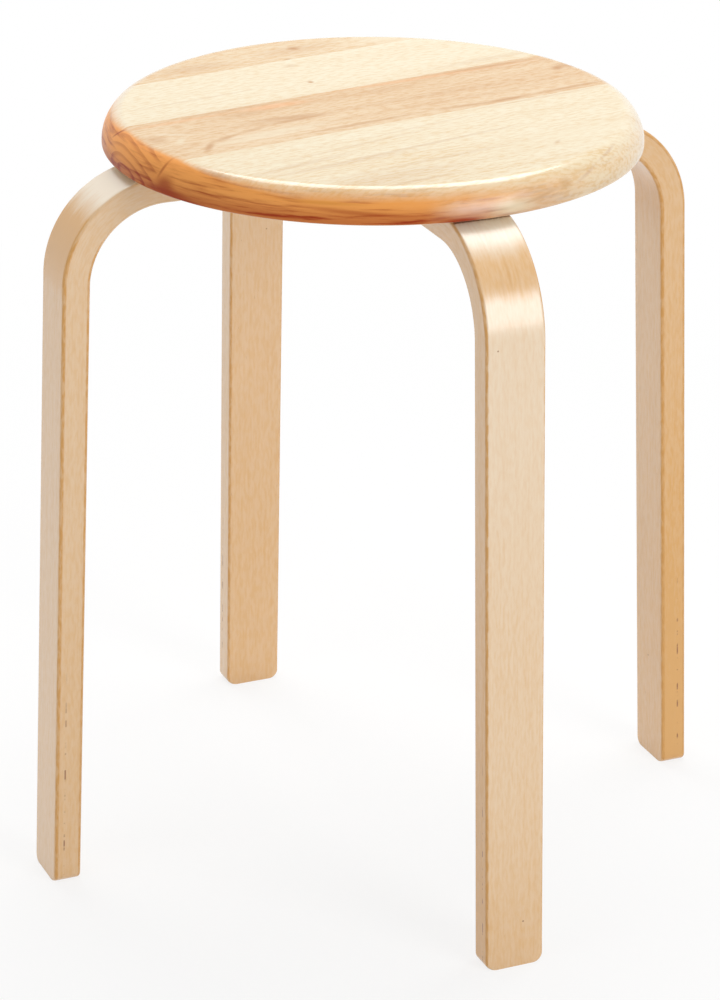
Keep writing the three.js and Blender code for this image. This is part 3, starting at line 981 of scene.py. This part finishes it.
def screw_tree():
    """A screw with a cross recess at each point, stopped at its own turn."""
    tree = new_geometry_tree("countersunk screws", (
        ("Tool", "Object"), ("Slot Width", "Float"), ("Slot Span", "Float"), ("Slot Depth", "Float"),
        ("Seed", "Int"), ("Material", "Material")))
    entry = add(tree, "NodeGroupInput").outputs
    screw = add(tree, "GeometryNodeObjectInfo", {"Object": entry["Tool"]})
    depth = add(tree, "ShaderNodeMath", {0: entry["Slot Depth"], 1: 2.0}, operation="MULTIPLY")
    bars = []
    span, width = entry["Slot Span"], entry["Slot Width"]
    for length, breadth in ((span, width), (width, span)):
        size = add(tree, "ShaderNodeCombineXYZ", {0: length, 1: breadth, 2: depth})
        bars.append(add(tree, "GeometryNodeMeshCube", {"Size": size}))
    recess = add(tree, "GeometryNodeJoinGeometry", {0: bars})
    cut = add(tree, "GeometryNodeMeshBoolean", {
        "Mesh 1": screw.outputs["Geometry"], "Mesh 2": recess, "Self Intersection": True},
        operation="DIFFERENCE", solver="EXACT")
    turn = add(tree, "FunctionNodeRandomValue", {
        "Seed": entry["Seed"], LARGEST: math.pi / 2}, data_type="FLOAT")
    rotation = add(tree, "ShaderNodeCombineXYZ", {2: turn})
    driven = add(tree, "GeometryNodeInstanceOnPoints", {
        "Points": entry["Geometry"], "Instance": cut, "Rotation": rotation})
    real = add(tree, "GeometryNodeRealizeInstances", {0: driven})
    finished = add(tree, "GeometryNodeSetMaterial", {"Geometry": real, "Material": entry["Material"]})
    add(tree, "NodeGroupOutput", {"Geometry": finished})
    return tree


class STOOL_OT_screws(bpy.types.Operator):
    """Drive the countersunk screws that hold the legs"""

    bl_idname = "stool.screws"
    bl_label = "Screws"

    def execute(self, context):
        seat = context.scene.stool_seat
        leg = context.scene.stool_leg
        screw = context.scene.stool_screw
        head_radius = screw.head / 2
        shank_radius = screw.diameter / 2
        head_height = screw.rim + head_radius - shank_radius
        length = leg.thickness - screw.recess + seat.thickness * screw.bite_share
        solid = lathe([
            (0, 0), (head_radius, 0), (head_radius, screw.rim), (shank_radius, head_height),
            (shank_radius, length - screw.tip), (0, length)], SCREW_SEGMENTS)
        pattern = new_object("screw pattern", finish_mesh(solid, "screw pattern"))
        places = [place for row in screw_places().values() for place in row]
        material = zinc_material()
        mesh = run_tree(screw_tree(), places, pattern, {
            "Slot Width": screw.slot_width, "Slot Span": screw.head * screw.slot_span_share,
            "Slot Depth": head_height * screw.slot_depth_share, "Seed": screw.turn_seed,
            "Material": material})
        solid = bmesh.new()
        solid.from_mesh(mesh)
        piece = new_object("countersunk_screws", finish_mesh(solid, "countersunk_screws"))
        names = [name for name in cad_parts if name.startswith("screw_")]
        place_piece(piece, material, names)
        return {"FINISHED"}


# Studio

def white_when_seen(tree):
    """1 for rays from the camera, in reflections and through clear things, and 0 for the lamps' light."""
    path = add(tree, "ShaderNodeLightPath")
    seen = add(tree, "ShaderNodeMath", {
        0: path.outputs["Is Camera Ray"], 1: path.outputs["Is Glossy Ray"]}, operation="ADD")
    return add(tree, "ShaderNodeMath", {0: seen, 1: path.outputs["Is Transmission Ray"]},
               operation="ADD", use_clamp=True)


# White of the room, and of the board under the lamps
WHITE = "FFFFFF"
BOARD_WHITE = "F7F7F7"

# How much of the floor's white is its own, and not lit by the lamps, so that it keeps a light shadow
# round the stool. Further away, between the two distances, all of it becomes its own.
FLOOR_OWN_WHITE = 0.8
FLOOR_FADE = (0.35, 1.1)
FLOOR_SPAN = 12.0


def floor_material():
    """White studio board."""
    # It gives the eye an even white with the stool's light shadow, and is clear from below.
    material, tree = new_material("white studio board")
    lit = add(tree, "ShaderNodeBsdfDiffuse", {"Color": to_linear(BOARD_WHITE)})
    white = add(tree, "ShaderNodeEmission", {"Color": to_linear(WHITE), "Strength": 1.0})
    coords = add(tree, "ShaderNodeTexCoord")
    distance = add(tree, "ShaderNodeVectorMath", {0: coords.outputs["Object"]}, operation="LENGTH")
    share = sum_tones(tree, FLOOR_OWN_WHITE, ((distance, *FLOOR_FADE, 1 - FLOOR_OWN_WHITE),))
    own = add(tree, "ShaderNodeMath", {0: white_when_seen(tree), 1: share}, operation="MULTIPLY")
    surface = add(tree, "ShaderNodeMixShader", {0: own, 1: lit, 2: white})
    sides = add(tree, "ShaderNodeNewGeometry")
    clear = add(tree, "ShaderNodeBsdfTransparent")
    both = add(tree, "ShaderNodeMixShader", {0: sides.outputs["Backfacing"], 1: surface, 2: clear})
    add(tree, "ShaderNodeOutputMaterial", {"Surface": both})
    return material


def studio_world(strength):
    """A white room that fills in the light at the given strength."""
    world = bpy.data.worlds.new("studio")
    world.use_nodes = True
    tree = world.node_tree
    tree.nodes.clear()
    fill = add(tree, "ShaderNodeBackground", {"Color": to_linear(WHITE), "Strength": strength})
    white = add(tree, "ShaderNodeBackground", {"Color": to_linear(WHITE), "Strength": 1.0})
    mixed = add(tree, "ShaderNodeMixShader", {0: white_when_seen(tree), 1: fill, 2: white})
    add(tree, "ShaderNodeOutputWorld", {"Surface": mixed})
    bpy.context.scene.world = world


def soft_lamp(name, place, target, long_side, size, power):
    """A softbox at a place, turned to a target, with its first size along the long side."""
    light = bpy.data.lights.new(name, "AREA")
    light.shape = "RECTANGLE"
    light.size, light.size_y = size
    light.energy = power
    lamp = new_object(name, light)
    away = (Vector(place) - Vector(target)).normalized()
    side = Vector(long_side).cross(away).cross(away).normalized() * -1
    lamp.location = place
    lamp.rotation_euler = Matrix((side, away.cross(side), away)).transposed().to_euler()
    return lamp


FILL_LIGHT = 0.40
LAMP_TARGET = (0, 0, STOOL_TOP * 0.85)

# Each softbox has its name, place, the direction of its long side, its sizes, its power, and whether
# the lacquer mirrors it. The front one stands where it whitens the seat from no usual side, and the
# back and left ones only fill in the shade.
SOFTBOXES = (
    ("top softbox", (0.33, 0.51, 1.9), (0.918, -0.397, 0), (1.6, 0.85), 21, True),
    ("front softbox", (0.85, -2.05, 1.05), (1, 0, 0), (1.0, 1.2), 21, True),
    ("back softbox", (-0.3, 1.9, 1.3), (1, 0, 0), (1.0, 0.9), 5, False),
    ("left softbox", (-2.0, -0.6, 0.9), (0, 1, 0), (1.2, 1.2), 6, False),
)


CAMERA_PLACE = (-0.8167, -1.8846, 1.0770)
CAMERA_PITCH = math.radians(67.02)
CAMERA_HEADING = math.radians(-23.25)
CAMERA_ROLL = math.radians(0.27)
CAMERA_LENS = 134.8
CAMERA_SENSOR = 36.0


class STOOL_OT_studio(bpy.types.Operator):
    """Set the floor, the lamps and the camera"""

    bl_idname = "stool.studio"
    bl_label = "Studio"

    def execute(self, context):
        half = FLOOR_SPAN / 2
        mesh = bpy.data.meshes.new("floor")
        corners = [(-half, -half, 0), (half, -half, 0), (half, half, 0), (-half, half, 0)]
        mesh.from_pydata(corners, [], [range(len(corners))])
        mesh.materials.append(floor_material())
        floor = new_object("floor", mesh)
        studio_world(FILL_LIGHT)
        for name, place, long_side, size, power, mirrored in SOFTBOXES:
            lamp = soft_lamp(name, place, LAMP_TARGET, long_side, size, power)
            lamp.visible_glossy = mirrored

        data = bpy.data.cameras.new("camera")
        data.lens = CAMERA_LENS
        data.sensor_width = CAMERA_SENSOR
        data.sensor_fit = "AUTO"
        camera = new_object("camera", data)
        camera.location = CAMERA_PLACE
        turn = (Matrix.Rotation(CAMERA_HEADING, 4, "Z") @ Matrix.Rotation(CAMERA_PITCH, 4, "X")
                @ Matrix.Rotation(CAMERA_ROLL, 4, "Z"))
        camera.rotation_euler = turn.to_euler()
        context.scene.camera = camera
        context.scene.view_settings.view_transform = "Standard"
        return {"FINISHED"}


class STOOL_PT_panel(bpy.types.Panel):
    """Sizes, colours and steps of the stool"""

    bl_idname = "STOOL_PT_panel"
    bl_label = "Stacking Stool"
    bl_space_type = "VIEW_3D"
    bl_region_type = "UI"
    bl_category = "Stool"

    def draw(self, context):
        layout = self.layout
        for label, group in (("Seat", "stool_seat"), ("Legs", "stool_leg"),
                             ("Screws", "stool_screw"), ("Colours", "stool_colours")):
            box = layout.box()
            box.label(text=label)
            sizes = getattr(context.scene, group)
            for name in sizes.__annotations__:
                box.prop(sizes, name)
        for operator in OPERATORS:
            layout.operator(operator.bl_idname)


OPERATORS = (STOOL_OT_seat_boards, STOOL_OT_legs, STOOL_OT_screws, STOOL_OT_studio)
GROUPS = (
    ("stool_seat", StoolSeatSizes),
    ("stool_leg", StoolLegSizes),
    ("stool_screw", StoolScrewSizes),
    ("stool_colours", StoolColours),
)


def register():
    for name, group in GROUPS:
        bpy.utils.register_class(group)
        setattr(bpy.types.Scene, name, PointerProperty(type=group))
    for operator in OPERATORS:
        bpy.utils.register_class(operator)
    bpy.utils.register_class(STOOL_PT_panel)


def unregister():
    bpy.utils.unregister_class(STOOL_PT_panel)
    for operator in reversed(OPERATORS):
        bpy.utils.unregister_class(operator)
    for name, group in reversed(GROUPS):
        delattr(bpy.types.Scene, name)
        bpy.utils.unregister_class(group)


def main():
    register()
    bpy.ops.stool.seat_boards()
    bpy.ops.stool.legs()
    bpy.ops.stool.screws()
    bpy.ops.stool.studio()


if __name__ == "__main__":
    main()
